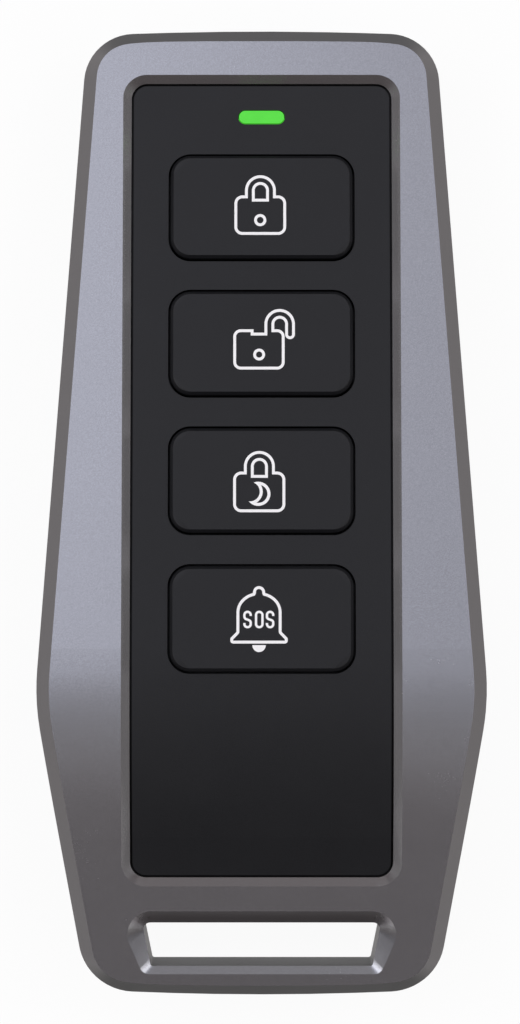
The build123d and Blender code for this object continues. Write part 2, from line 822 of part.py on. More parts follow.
# Leads of the chip, bent down to the board
chip_side = chip_width / 2
chip_toe = chip_lead_span / 2
chip_knee = (chip_side + chip_toe) / 2
lead_top = board_bottom_depth + chip_standoff + chip_height / 2
lead_foot = board_bottom_depth + chip_lead_thickness
with BuildPart() as coding_chip_leads:
    for lead in range(chip_lead_count):
        lead_x = (lead - (chip_lead_count - 1) / 2) * chip_lead_pitch
        lead_plane = Plane(face.from_local_coords((lead_x, chip_position, 0)), face.y_dir, face.x_dir)
        with BuildSketch(lead_plane):
            with BuildLine():
                Polyline(
                    (chip_side, -lead_top),
                    (chip_side, -lead_top - chip_lead_thickness),
                    (chip_knee, -lead_top - chip_lead_thickness),
                    (chip_knee + chip_lead_thickness, -lead_foot),
                    (chip_toe, -lead_foot),
                    (chip_toe, -board_bottom_depth),
                    (chip_knee, -board_bottom_depth),
                    (chip_knee - chip_lead_thickness, -lead_top),
                    close=True,
                )
            make_face()
            mirror(about=Plane.YZ)
        extrude(amount=chip_lead_width / 2, both=True)
write(coding_chip_leads, "coding_chip_leads")

# Radio parts on the underside of the board
with BuildPart() as saw_resonator:
    with BuildSketch(face.offset(-board_bottom_depth - resonator_height)):
        with Locations((resonator_x, radio_position)):
            Rectangle(resonator_size, resonator_size)
    extrude(amount=resonator_height)
    chamfer(saw_resonator.faces().sort_by(outward)[0].edges(), resonator_chamfer)
write(saw_resonator, "saw_resonator")

with BuildPart() as radio_transistor:
    with BuildSketch(face.offset(-board_bottom_depth - transistor_height)):
        with Locations((transistor_x, radio_position)):
            Rectangle(transistor_length, transistor_width)
    extrude(amount=transistor_height)
    with BuildSketch(face.offset(-board_bottom_depth - chip_lead_thickness)):
        with Locations((transistor_x, radio_position + transistor_width / 2)):
            Rectangle(chip_lead_width, transistor_width)
        with Locations((transistor_x, radio_position - transistor_width / 2)):
            with GridLocations(transistor_length - 2 * chip_lead_width, 0, 2, 1):
                Rectangle(chip_lead_width, transistor_width)
    extrude(amount=chip_lead_thickness)
write(radio_transistor, "radio_transistor")

for name, size, places in (
    ("chip_capacitors", capacitor_size, capacitors_from_chip),
    ("chip_resistors", resistor_size, resistors_from_chip),
):
    with BuildPart() as chips:
        with BuildSketch(face.offset(-board_bottom_depth - size[2])):
            with Locations(*[(x, chip_position + step) for x, step in places]):
                Rectangle(size[0], size[1])
        extrude(amount=size[2])
    write(chips, name)

# Printed loop aerial round the lamp end of the board, open where it is fed
antenna_length = board_lamp_position - antenna_end_margin - antenna_start_position
antenna_hole_width = antenna_width - 2 * antenna_track
antenna_hole_length = antenna_length - 2 * antenna_track
with BuildPart() as antenna_trace:
    with BuildSketch(face.offset(-board_bottom_depth - antenna_thickness)):
        with Locations((0, antenna_start_position + antenna_length / 2)):
            Rectangle(antenna_width, antenna_length)
            Rectangle(antenna_hole_width, antenna_hole_length, mode=Mode.SUBTRACT)
        with Locations((0, antenna_start_position)):
            Rectangle(antenna_feed_gap, 3 * antenna_track, mode=Mode.SUBTRACT)
    extrude(amount=antenna_thickness)
write(antenna_trace, "antenna_trace")

# Space inside the rear cover
tunnel_inset = slot_wall + lip_gap + lip_thickness
with BuildPart() as cover_cavity:
    with BuildSketch():
        draw_outline(cover_wall)
        draw_slot_tunnel(tunnel_inset)
    extrude(amount=2 * crown_height)
    with BuildSketch(Plane.YZ):
        draw_cover_band(cover_floor, 0)
    extrude(amount=bend_width, both=True, mode=Mode.INTERSECT)

# Lip of the rear cover, reaching up inside the frame
with BuildPart() as cover_lip:
    with BuildSketch():
        draw_outline(lip_inset)
        draw_slot_tunnel(slot_wall + lip_gap)
    extrude(amount=2 * crown_height)
    with BuildSketch(Plane.YZ):
        draw_face_band(frame_skirt_depth - lip_height, frame_skirt_depth + 2 * lip_thickness)
    extrude(amount=bend_width, both=True, mode=Mode.INTERSECT)

# Fingers on the sides of the lip, which hold the inner panel up against the frame
with BuildPart() as lip_fingers:
    with BuildSketch():
        draw_outline(lip_inset)
        with Locations(*[(0, place) for place in lip_finger_places]):
            Rectangle(bend_width, lip_finger_length, mode=Mode.INTERSECT)
    extrude(amount=2 * crown_height)
    with BuildSketch(Plane.YZ):
        draw_face_band(panel_underside + seat_gap, frame_skirt_depth)
    extrude(amount=bend_width, both=True, mode=Mode.INTERSECT)

# Rear cover: a tray with a flat back that rises to the strap end, screwed to the frame
with BuildPart() as rear_cover:
    with BuildSketch():
        draw_outline(cover_inset)
    extrude(amount=2 * crown_height)
    with BuildSketch(Plane.YZ):
        draw_cover_band(0, frame_skirt_depth + seat_gap)
    extrude(amount=bend_width, both=True, mode=Mode.INTERSECT)
    back = rear_cover.faces().sort_by(Axis.Z)[0]
    chamfer(back.edges().sort_by(Axis.Y)[-1], cover_chamfer)
    add(cover_lip.part)
    add(lip_fingers.part)
    add(cover_cavity.part, mode=Mode.SUBTRACT)
    # Posts for the screws, with a recess for each head
    post_z = back_z(screw_y) + cover_floor / 2
    with BuildSketch(Plane.XY.offset(post_z)):
        with Locations(*screw_places):
            Circle(screw_post_diameter / 2)
    extrude(amount=screw_joint_z - post_z)
    with BuildSketch():
        with Locations(*screw_places):
            Circle(cover_screw_recess_diameter / 2)
    extrude(amount=screw_seat_z, mode=Mode.SUBTRACT)
    with BuildSketch():
        with Locations(*screw_places):
            Circle(cover_screw_thread / 2 + screw_hole_clearance)
    extrude(amount=screw_joint_z, mode=Mode.SUBTRACT)
    # Tongues on the lip
    with BuildSketch(Plane.XY.offset(face_z(inner_end_y, tongue_depth))):
        with Locations((-tongue_x, inner_end_y), (tongue_x, inner_end_y)):
            Rectangle(tongue_width, 2 * tongue_reach)
    extrude(amount=tongue_height)
    # Strap slot, a little wider than the one in the frame, eased at the back
    with BuildSketch():
        draw_slot(slot_cover_clearance)
    extrude(amount=2 * crown_height, mode=Mode.SUBTRACT)
    rising_back = rear_cover.faces().sort_by_distance((0, screw_y, back_z(screw_y)))[0]
    slot_lamp_edge = (0, slot_lamp_y + slot_cover_clearance, back_z(slot_lamp_y + slot_cover_clearance))
    chamfer(rising_back.edges().sort_by_distance(slot_lamp_edge)[0], slot_cover_chamfer)
write(rear_cover, "rear_cover")

# Screws of the rear cover, self-tapping into the bosses of the frame
with BuildPart() as cover_screws:
    with BuildSketch(Plane.XY.offset(screw_seat_z - cover_screw_head)):
        with Locations(*screw_places):
            Circle(cover_screw_head_diameter / 2)
    extrude(amount=cover_screw_head)
    with BuildSketch(Plane.XY.offset(screw_seat_z - cover_screw_head)):
        with Locations(*screw_places):
            Circle(cover_screw_thread / 2)
    extrude(amount=cover_screw_head + cover_screw_length)
write(cover_screws, "cover_screws")
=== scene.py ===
"""Finishes, key symbols, keypad mat pieces and springs, screws, light and camera of an alarm remote.

Lengths are named in millimetres and become metres where a piece is made. Those of the floor, the
light and the camera are in metres.
"""

import json
import math

import bmesh
import bpy
from mathutils import Matrix, Vector


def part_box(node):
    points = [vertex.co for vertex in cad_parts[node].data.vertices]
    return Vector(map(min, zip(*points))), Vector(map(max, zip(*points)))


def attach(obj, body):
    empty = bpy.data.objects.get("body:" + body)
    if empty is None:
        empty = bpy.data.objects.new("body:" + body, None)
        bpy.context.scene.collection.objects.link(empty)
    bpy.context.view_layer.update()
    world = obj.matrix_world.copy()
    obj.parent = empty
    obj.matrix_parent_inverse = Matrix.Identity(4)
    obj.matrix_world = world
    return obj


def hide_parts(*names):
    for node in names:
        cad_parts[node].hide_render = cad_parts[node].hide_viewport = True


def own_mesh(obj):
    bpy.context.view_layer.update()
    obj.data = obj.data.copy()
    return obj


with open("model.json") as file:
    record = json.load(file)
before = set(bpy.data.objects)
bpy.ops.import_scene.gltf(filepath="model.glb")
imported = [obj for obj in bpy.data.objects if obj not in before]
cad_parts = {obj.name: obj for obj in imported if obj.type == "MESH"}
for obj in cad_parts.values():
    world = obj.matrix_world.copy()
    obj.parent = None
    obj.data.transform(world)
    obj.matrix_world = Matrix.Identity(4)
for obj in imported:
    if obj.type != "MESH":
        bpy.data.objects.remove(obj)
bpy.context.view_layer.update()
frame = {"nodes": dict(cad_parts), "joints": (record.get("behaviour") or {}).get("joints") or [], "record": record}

MM = 0.001
SAME_PLACE = 0.001 * MM
KEYS = ("lock", "unlock", "night", "sos")
joints = {joint["name"]: joint for joint in frame["joints"]}
presses = {key: joints[f"{key}_key_press"] for key in KEYS}


def put(name, data):
    """A new object of the scene, made from a mesh, a curve, a lamp or a camera."""
    placed = bpy.data.objects.new(name, data)
    bpy.context.collection.objects.link(placed)
    return placed


# Shader sums

EVEN = (1, 1, 1)
ALONG_X = (0.06, 1, 1)
ALONG_Y = (1, 0.06, 1)


class Signal:
    """What one shader node hands to another. Sums written on it add Math nodes."""

    def __init__(self, finish, socket):
        self.finish = finish
        self.socket = socket

    def reckon(self, operation, first, second):
        return self.finish.node(
            "ShaderNodeMath", {"operation": operation}, {0: first, 1: second}
        )

    def __add__(self, other):
        return self.reckon("ADD", self, other)

    def __radd__(self, other):
        return self.reckon("ADD", other, self)

    def __sub__(self, other):
        return self.reckon("SUBTRACT", self, other)

    def __rsub__(self, other):
        return self.reckon("SUBTRACT", other, self)

    def __mul__(self, other):
        return self.reckon("MULTIPLY", self, other)

    def __rmul__(self, other):
        return self.reckon("MULTIPLY", other, self)


class Finish:
    """A material that is being made, with the Principled shader's plain values by name."""

    def __init__(self, name, **constants):
        self.material = bpy.data.materials.new(name)
        self.material.use_nodes = True
        self.tree = self.material.node_tree
        self.shader = self.tree.nodes["Principled BSDF"]
        for socket, value in constants.items():
            self.shader.inputs[socket.replace("_", " ")].default_value = value

    def node(self, kind, settings, inputs, output=0):
        """Adds a node: its settings come first, then the values or links of its sockets."""
        node = self.tree.nodes.new(kind)
        for name, value in settings.items():
            setattr(node, name, value)
        for socket, value in inputs.items():
            if isinstance(value, Signal):
                self.tree.links.new(value.socket, node.inputs[socket])
            else:
                node.inputs[socket].default_value = value
        return Signal(self, node.outputs[output])

    def place(self):
        """Place on the piece, in metres, which rides with it."""
        return self.node("ShaderNodeTexCoord", {}, {}, "Object")

    def grain(self, size, detail=2.0, stretch=EVEN):
        """Noise with spots of about a size in millimetres, drawn out along an axis by stretch."""
        place = self.node(
            "ShaderNodeMapping", {}, {"Vector": self.place(), "Scale": stretch}
        )
        return self.node(
            "ShaderNodeTexNoise",
            {},
            {"Vector": place, "Scale": 1 / (size * MM), "Detail": detail},
        )

    def band(self, value, low, high):
        """0 below low, 1 above high and a smooth rise between them."""
        return self.node(
            "ShaderNodeMapRange",
            {"interpolation_type": "SMOOTHSTEP"},
            {"Value": value, "From Min": low, "From Max": high},
        )

    def tint(self, amount, first, second):
        """The first colour where amount is 0 and the second where it is 1."""
        return self.node(
            "ShaderNodeMix",
            {"data_type": "RGBA"},
            {"Factor": amount, 6: first, 7: second},
            2,
        )

    def emboss(self, height, depth, below=None):
        """Relief of the given depth in millimetres, on top of any coarser relief."""
        inputs = {"Height": height, "Distance": depth * MM, "Strength": 1.0}
        if below is not None:
            inputs["Normal"] = below
        return self.node("ShaderNodeBump", {}, inputs)

    def set(self, **links):
        """Joins what varies over the surface to the shader."""
        for name, signal in links.items():
            self.tree.links.new(signal.socket, self.shader.inputs[name.replace("_", " ")])
        return self.material


def shade(red, green, blue):
    """A colour for a socket."""
    return (red, green, blue, 1)


# Finishes

CLOUD_TO_TEXTURE = 40
TRACK_WAVES = 420.0


def frame_lacquer():
    """Gunmetal lacquer: fine metal flakes in a satin coat, with light and shade painted into its colour
    by the way that the surface faces.

    The faces out of the keys are painted lit and the slope towards the strap a little darker, as painted shade.
    The chamfers are painted lighter where they face a side and darker where they face an end. The steep flanks and
    the ends are painted dark as shade, and the strap end is darkest. The coat is rougher and less metallic on the
    steep flanks.
    """
    finish = Finish("gunmetal_lacquer", Specular_IOR_Level=0.12)
    flake = finish.grain(0.12, 1.0)
    cloud = finish.grain(5.0)
    facing = finish.node("ShaderNodeTexCoord", {}, {}, "Normal")
    lampward = finish.node("ShaderNodeSeparateXYZ", {}, {0: facing}, 1)
    upward = finish.node("ShaderNodeSeparateXYZ", {}, {0: facing}, 2)
    endwise = lampward * lampward
    # painted light: faces that look up take the lit tones and a glossier, more metallic coat; steep flanks take
    # the painted shade
    upward_lit_and_glossy = finish.band(upward, 0.55, 0.66)
    ends = finish.band(endwise, 0.2, 0.7)
    spark = finish.band(flake, 0.3, 0.7)
    # painted light and shade: the faces out of the keys lit, the slope towards the strap darker as painted shade
    lamp_face_lit = finish.tint(spark, shade(0.33, 0.336, 0.36), shade(0.37, 0.377, 0.404))
    strap_face_shaded = finish.tint(spark, shade(0.312, 0.305, 0.318), shade(0.35, 0.342, 0.357))
    face = finish.tint(finish.band(lampward, 0.03, -0.13), lamp_face_lit, strap_face_shaded)
    # painted light and shade on the chamfers: lighter where they face a side, darker where they face an end
    chamfer = finish.tint(
        finish.band(endwise, 0.05, 0.3), shade(0.49, 0.485, 0.49), shade(0.34, 0.32, 0.325)
    )
    light = finish.tint(finish.band(upward, 0.78, 0.72), face, chamfer)
    # painted shade: the steep flanks dark, the ends darker still, the strap end darkest
    side = finish.tint(flake, shade(0.156, 0.147, 0.148), shade(0.18, 0.17, 0.172))
    lamp_end = finish.band(lampward, -0.5, 0.5)
    end = finish.tint(lamp_end, shade(0.035, 0.032, 0.032), shade(0.073, 0.07, 0.072))
    return finish.set(
        Base_Color=finish.tint(upward_lit_and_glossy, finish.tint(ends, side, end), light),
        Metallic=0.6 + upward_lit_and_glossy * 0.16,
        Roughness=0.46 - upward_lit_and_glossy * 0.25 + flake * 0.04 + cloud * 0.05,
        Normal=finish.emboss(flake, 0.0012),
    )


def moulded(name, colour, texture, depth, roughness):
    """Moulded black plastic with a spark-eroded skin of the given texture size and depth."""
    finish = Finish(name, Specular_IOR_Level=0.35)
    skin = finish.grain(texture, 3.0)
    cloud = finish.grain(texture * CLOUD_TO_TEXTURE)
    pale = shade(*(1.25 * part for part in colour))
    return finish.set(
        Base_Color=finish.tint(finish.band(skin, 0.35, 0.65), shade(*colour), pale),
        Roughness=roughness + cloud * 0.08 + skin * 0.06,
        Normal=finish.emboss(skin, depth),
    )


def lamp_lens():
    """Lit green lens with a slightly cloudy skin."""
    finish = Finish("lit_green_lens", Emission_Strength=0.5)
    cloud = finish.grain(1.2)
    return finish.set(
        Base_Color=finish.tint(cloud, shade(0.03, 0.34, 0.015), shade(0.04, 0.4, 0.02)),
        Emission_Color=finish.tint(cloud, shade(0.085, 0.72, 0.035), shade(0.1, 0.8, 0.045)),
        Roughness=0.35 + cloud * 0.08,
        Normal=finish.emboss(finish.grain(0.3), 0.004),
    )


def worked_metal(name, colour, roughness, stretch, depth):
    """Bare sheet or turned metal with the fine lines of its rolling or turning."""
    finish = Finish(name, Metallic=1.0)
    line = finish.grain(0.12, 3.0, stretch)
    cloud = finish.grain(1.6)
    dull = shade(*(0.72 * part for part in colour))
    return finish.set(
        Base_Color=finish.tint(finish.band(cloud, 0.3, 0.75), shade(*colour), dull),
        Roughness=roughness + line * 0.12 + cloud * 0.08,
        Normal=finish.emboss(line, depth),
    )


def board_mask():
    """Green solder mask over runs of copper tracks that show as a fine relief."""
    finish = Finish("green_solder_mask", Coat_Weight=0.25)
    waves = finish.node(
        "ShaderNodeTexWave",
        {"bands_direction": "X", "wave_profile": "TRI"},
        {"Vector": finish.place(), "Scale": TRACK_WAVES, "Distortion": 0.0},
    )
    run = finish.band(finish.grain(3.5, 0.0, ALONG_Y), 0.5, 0.515)
    track = finish.band(waves, 0.6, 0.66) * run
    weave = finish.grain(0.25)
    return finish.set(
        Base_Color=finish.tint(track, shade(0.012, 0.13, 0.05), shade(0.03, 0.24, 0.085)),
        Roughness=0.3 + weave * 0.12,
        Normal=finish.emboss(weave, 0.006, finish.emboss(track, 0.03)),
    )


def smooth_part(name, colour, roughness, speck, depth):
    """A small glazed, ceramic, rubber or moulded part with a slightly uneven skin."""
    finish = Finish(name)
    skin = finish.grain(speck, 3.0)
    pale = shade(*(min(1.3 * part, 0.9) for part in colour))
    return finish.set(
        Base_Color=finish.tint(skin, shade(*colour), pale),
        Roughness=roughness + skin * 0.1,
        Normal=finish.emboss(skin, depth),
    )


def white_ink():
    """White pad-printed ink, a little uneven."""
    finish = Finish("white_ink", Specular_IOR_Level=0.8)
    speck = finish.grain(0.08, 2.0)
    return finish.set(
        Base_Color=finish.tint(speck, shade(0.96, 0.96, 0.96), shade(0.912, 0.912, 0.912)),
        Roughness=0.5 + speck * 0.15,
        Normal=finish.emboss(speck, 0.003),
    )


finishes = {
    "frame_metal": frame_lacquer(),
    "panel_black": moulded("panel_moulding", (0.0034, 0.0038, 0.0052), 0.11, 0.006, 0.4),
    "key_black": moulded("key_moulding", (0.0034, 0.0038, 0.0052), 0.09, 0.005, 0.4),
    "cover_black": moulded("cover_moulding", (0.011, 0.011, 0.012), 0.16, 0.012, 0.55),
    "lens_green": lamp_lens(),
    "mat_silicone": smooth_part("grey_silicone", (0.15, 0.15, 0.16), 0.6, 0.5, 0.01),
    "led_body": smooth_part("lamp_package", (0.72, 0.66, 0.48), 0.3, 0.4, 0.005),
    "board_green": board_mask(),
    "switch_black": smooth_part("switch_base_nylon", (0.02, 0.02, 0.021), 0.45, 0.2, 0.006),
    "switch_steel": worked_metal("switch_plate", (0.62, 0.61, 0.6), 0.28, ALONG_X, 0.004),
    "stem_brown": smooth_part("switch_stem_nylon", (0.1, 0.045, 0.025), 0.4, 0.2, 0.005),
    "spring_steel": worked_metal("spring_strip", (0.6, 0.59, 0.56), 0.25, ALONG_Y, 0.004),
    "tinned_metal": worked_metal("tinned_legs", (0.68, 0.68, 0.69), 0.34, EVEN, 0.006),
    "screw_steel": worked_metal("zinc_screw", (0.6, 0.61, 0.64), 0.3, EVEN, 0.005),
    "screw_black": worked_metal("blackened_screw", (0.07, 0.07, 0.075), 0.36, EVEN, 0.006),
    "cell_steel": worked_metal("cell_can", (0.66, 0.66, 0.66), 0.24, ALONG_X, 0.004),
    "contact_gold": worked_metal("gilded_contact", (0.85, 0.6, 0.25), 0.25, EVEN, 0.004),
    "chip_black": smooth_part("chip_moulding", (0.018, 0.018, 0.02), 0.5, 0.14, 0.008),
    "resonator_lid": worked_metal("gilded_lid", (0.76, 0.62, 0.36), 0.22, ALONG_Y, 0.003),
    "ceramic_tan": smooth_part("tan_ceramic", (0.42, 0.29, 0.17), 0.45, 0.2, 0.006),
    "resistor_black": smooth_part("glazed_resistor", (0.02, 0.02, 0.024), 0.25, 0.3, 0.004),
    "copper": worked_metal("masked_copper", (0.42, 0.36, 0.12), 0.3, EVEN, 0.006),
}
for part in frame["record"]["subparts"]:
    mesh_slot = frame["nodes"][part["node"]].material_slots[0]
    mesh_slot.material = finishes[part["material_slot"]]


# Softened key edges

KEY_EDGE = 0.06
SHARPER_THAN = math.radians(25)


def smooth_faces():
    """A modifier's node group that shades every face smooth."""
    group = bpy.data.node_groups.new("Smooth faces", "GeometryNodeTree")
    for direction in ("INPUT", "OUTPUT"):
        group.interface.new_socket(
            "Geometry", in_out=direction, socket_type="NodeSocketGeometry"
        )
    source = group.nodes.new("NodeGroupInput")
    smooth = group.nodes.new("GeometryNodeSetShadeSmooth")
    result = group.nodes.new("NodeGroupOutput")
    group.links.new(source.outputs[0], smooth.inputs[0])
    group.links.new(smooth.outputs[0], result.inputs[0])
    return group


smoothing = smooth_faces()
for key in KEYS:
    modifiers = frame["nodes"][f"keycap_{key}"].modifiers
    weld = modifiers.new("Joined corners", "WELD")
    weld.merge_threshold = SAME_PLACE
    modifiers.new("Smooth faces", "NODES").node_group = smoothing
    bevel = modifiers.new("Moulded edge", "BEVEL")
    bevel.width = KEY_EDGE * MM
    bevel.segments = 2
    bevel.limit_method = "ANGLE"
    bevel.angle_limit = SHARPER_THAN
    bevel.face_strength_mode = "FSTR_ALL"
    shading = modifiers.new("Even shading", "WEIGHTED_NORMAL")
    shading.keep_sharp = False
    shading.use_face_influence = True


# Key symbols, drawn on the middle of a stroke, x to the right and y towards the lamp

STROKE = 0.228
LETTER_STROKE = 0.188
INK_THICKNESS = 0.02
ARC_STEPS = 24
SHORTEST_STEP = 1e-4
TOP_EVENNESS = 0.01

PADLOCK_CORNER = 0.535
SHACKLE_WIDTH = 0.557
SHACKLE_FOOT = 0.27

LETTER_HALF_WIDTH = 0.25
LETTER_HALF_HEIGHT = 0.61
S_BEND = 0.249
S_END = 0.28
S_WAIST = (0.09, -0.11)
S_WAIST_BEND = 0.2
O_HALF_WIDTH = 0.255
O_BEND = 0.2549

BELL_AXIS = -0.207
LETTER_ROW = -0.07
LETTERS_FROM_AXIS = (-0.915, 0.017, 0.88)


def arc(centre, reach, start, end):
    """Points of an arc or ellipse from one angle to another, in degrees."""
    angles = [
        math.radians(start + (end - start) * step / ARC_STEPS)
        for step in range(ARC_STEPS + 1)
    ]
    return [
        Vector((centre[0] + reach[0] * math.cos(a), centre[1] + reach[1] * math.sin(a)))
        for a in angles
    ]


def rounded(corners):
    """A closed line through corners, each given as x, y and the radius that rounds it."""
    line = []
    for number, (x, y, radius) in enumerate(corners):
        here = Vector((x, y))
        if radius == 0:
            line.append(here)
            continue
        before = (Vector(corners[number - 1][:2]) - here).normalized()
        after = (Vector(corners[(number + 1) % len(corners)][:2]) - here).normalized()
        half = before.angle(after) / 2
        middle = here + (before + after).normalized() * (radius / math.sin(half))
        first = here + before * (radius / math.tan(half)) - middle
        turn = -first.angle_signed(here + after * (radius / math.tan(half)) - middle)
        line += [
            middle + Matrix.Rotation(turn * step / ARC_STEPS, 2) @ first
            for step in range(ARC_STEPS + 1)
        ]
    return line


def beside(line, distance, closed=True):
    """The line moved sideways by a distance, with its corners kept."""
    moved = []
    last = len(line) - 1
    for number, point in enumerate(line):
        ahead = line[(number + 1) % len(line)] - point
        behind = point - line[number - 1]
        if not closed and number == 0:
            behind = ahead
        if not closed and number == last:
            ahead = behind
        sides = [Vector((-run.y, run.x)).normalized() for run in (behind, ahead)]
        lean = (sides[0] + sides[1]).normalized()
        moved.append(point + lean * (distance / lean.dot(sides[0])))
    return moved


def thinned(line):
    """The line without points that fall on the one before."""
    return [
        point
        for number, point in enumerate(line)
        if (point - line[number - 1]).length > SHORTEST_STEP
    ]


def ring(line, stroke=STROKE):
    """Both edges of a stroke that closes on itself."""
    line = thinned(line)
    return [beside(line, stroke / 2), beside(line, -stroke / 2)]


def ribbon(line, stroke):
    """The edge of a stroke with square ends."""
    left = beside(line, stroke / 2, closed=False)
    right = beside(line, -stroke / 2, closed=False)
    return [left + right[::-1]]


def circle(centre, radius):
    """Points of a circle."""
    return arc(centre, (radius, radius), 0, 360)[:-1]


def crescent(outer, outer_radius, bite, bite_radius):
    """The part of the outer circle that the bite leaves."""
    line = Vector(bite) - Vector(outer)
    span = line.length
    along = (span**2 + outer_radius**2 - bite_radius**2) / (2 * span)
    lean = math.degrees(math.atan2(line.y, line.x))
    half = math.degrees(math.acos(along / outer_radius))
    bite_half = math.degrees(math.acos((span - along) / bite_radius))
    rim = arc(outer, (outer_radius, outer_radius), lean + half, lean - half + 360)
    back = lean + 180
    inside = arc(bite, (bite_radius, bite_radius), back + bite_half, back - bite_half)
    return rim + inside[1:-1]


def padlock(body, shoulder, arch):
    """Stroke edges of a closed padlock: its outline, and the inner line of its shackle."""
    left, right, foot = body
    arch_left, arch_right, top = arch
    outer_bend = (arch_right - arch_left) / 2
    inner_bend = outer_bend - SHACKLE_WIDTH
    inner_left = arch_left + SHACKLE_WIDTH
    inner_right = arch_right - SHACKLE_WIDTH
    inner_top = top - SHACKLE_WIDTH
    inner_foot = shoulder - SHACKLE_FOOT
    outline = rounded(
        [
            (arch_left, shoulder, 0),
            (arch_left, top, outer_bend),
            (arch_right, top, outer_bend),
            (arch_right, shoulder, 0),
            (right, shoulder, PADLOCK_CORNER),
            (right, foot, PADLOCK_CORNER),
            (left, foot, PADLOCK_CORNER),
            (left, shoulder, PADLOCK_CORNER),
        ]
    )
    inner = rounded(
        [
            (inner_left, inner_foot, 0),
            (inner_left, inner_top, inner_bend),
            (inner_right, inner_top, inner_bend),
            (inner_right, inner_foot, 0),
        ]
    )
    return ring(outline) + ring(inner)


def open_padlock():
    """Stroke edges of an open padlock, all in one line, its shackle swung out to the right."""
    return ring(
        rounded(
            [
                (-0.763, 0.972, 0),
                (-0.763, 0.699, 0),
                (0.341, 0.699, 0),
                (0.341, 2.616, 1.108),
                (2.558, 2.616, 1.108),
                (2.558, 0.402, 0.277),
                (2.003, 0.402, 0.277),
                (2.003, 2.064, 0.55),
                (0.903, 2.064, 0.55),
                (0.903, 0.972, 0),
                (1.734, 0.972, 0.486),
                (1.734, -2.056, 0.486),
                (-2.16, -2.056, 0.486),
                (-2.16, 0.972, 0.486),
            ]
        )
    )


def letter_s(middle):
    """A narrow S about a middle."""
    half, rise = LETTER_HALF_WIDTH, LETTER_HALF_HEIGHT
    corners = [
        (half, S_END, 0),
        (half, rise, S_BEND),
        (-half, rise, S_BEND),
        (-half, S_WAIST[0], S_WAIST_BEND),
        (half, S_WAIST[1], S_WAIST_BEND),
        (half, -rise, S_BEND),
        (-half, -rise, S_BEND),
        (-half, -S_END, 0),
    ]
    line = rounded([(x + middle, y + LETTER_ROW, bend) for x, y, bend in corners])
    return ribbon(line, LETTER_STROKE)


def letter_o(middle):
    """A narrow O about a middle."""
    corners = ((-1, 1), (1, 1), (1, -1), (-1, -1))
    line = rounded(
        [
            (x * O_HALF_WIDTH + middle, y * LETTER_HALF_HEIGHT + LETTER_ROW, O_BEND)
            for x, y in corners
        ]
    )
    return ring(line, LETTER_STROKE)


def bell():
    """Stroke edges of an alarm bell with its letters, and the clapper."""
    knob = arc((0, 2.11), (0.365, 0.365), 90, -8)
    dome = arc((0, 0.501), (1.68, 1.481), 75.5, 0)
    rim = [(1.68, -1.1, 0.2), (2.17, -1.6, 0.1), (2.17, -1.867, 0.12)]
    right_side = [(point.x, point.y, 0) for point in knob + dome] + rim
    left_side = [(-x, y, radius) for x, y, radius in right_side[:0:-1]]
    outline = [point + Vector((BELL_AXIS, 0)) for point in rounded(right_side + left_side)]
    first, second, third = (BELL_AXIS + step for step in LETTERS_FROM_AXIS)
    clapper = arc((BELL_AXIS, -2.109), (0.533, 0.55), 0, -180)
    letters = letter_s(first) + letter_o(second) + letter_s(third)
    return ring(outline) + letters + [clapper]


symbols = {
    "lock": padlock((-2.079, 1.862, -2.2), 0.79, (-1.225, 1.032, 2.442))
    + ring(circle((-0.113, -1.112), 0.38)),
    "unlock": open_padlock() + ring(circle((-0.201, -0.96), 0.364)),
    "night": padlock((-2.165, 1.778, -2.465), 0.567, (-1.302, 0.943, 2.225))
    + [
        crescent((-0.264, -1.103), 0.971, (-0.935, -0.927), 0.783),
        crescent((-0.264, -1.103), 0.727, (-0.935, -0.927), 1.023),
    ],
    "sos": bell(),
}


def key_top(key):
    """The place of a key's symbol: the middle of its flat top, with z out of the key."""
    outward = -Vector(presses[key]["axis"])
    corners = [vertex.co for vertex in frame["nodes"][f"keycap_{key}"].data.vertices]
    height = max(corner.dot(outward) for corner in corners)
    top = [corner for corner in corners if height - corner.dot(outward) < TOP_EVENNESS * MM]
    middle = Vector(
        (max(corner[side] for corner in top) + min(corner[side] for corner in top)) / 2
        for side in range(3)
    )
    across = Vector((1, 0, 0))
    along = outward.cross(across)
    turned = Matrix((across, along, outward)).transposed()
    return Matrix.Translation(middle) @ turned.to_4x4()


ink = white_ink()
for key, edges in symbols.items():
    drawing = bpy.data.curves.new(f"symbol_{key}", "CURVE")
    drawing.dimensions = "2D"
    drawing.fill_mode = "BOTH"
    drawing.extrude = INK_THICKNESS * MM
    drawing.materials.append(ink)
    for edge in edges:
        spline = drawing.splines.new("POLY")
        spline.points.add(len(edge) - 1)
        for point, spot in zip(spline.points, edge):
            point.co = (spot.x * MM, spot.y * MM, 0, 1)
        spline.use_cyclic_u = True
    symbol = put(f"symbol_{key}", drawing)
    symbol.matrix_world = key_top(key)
    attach(symbol, f"{key}_key")


# Rubber and springs under each key, as pieces that ride with the housing


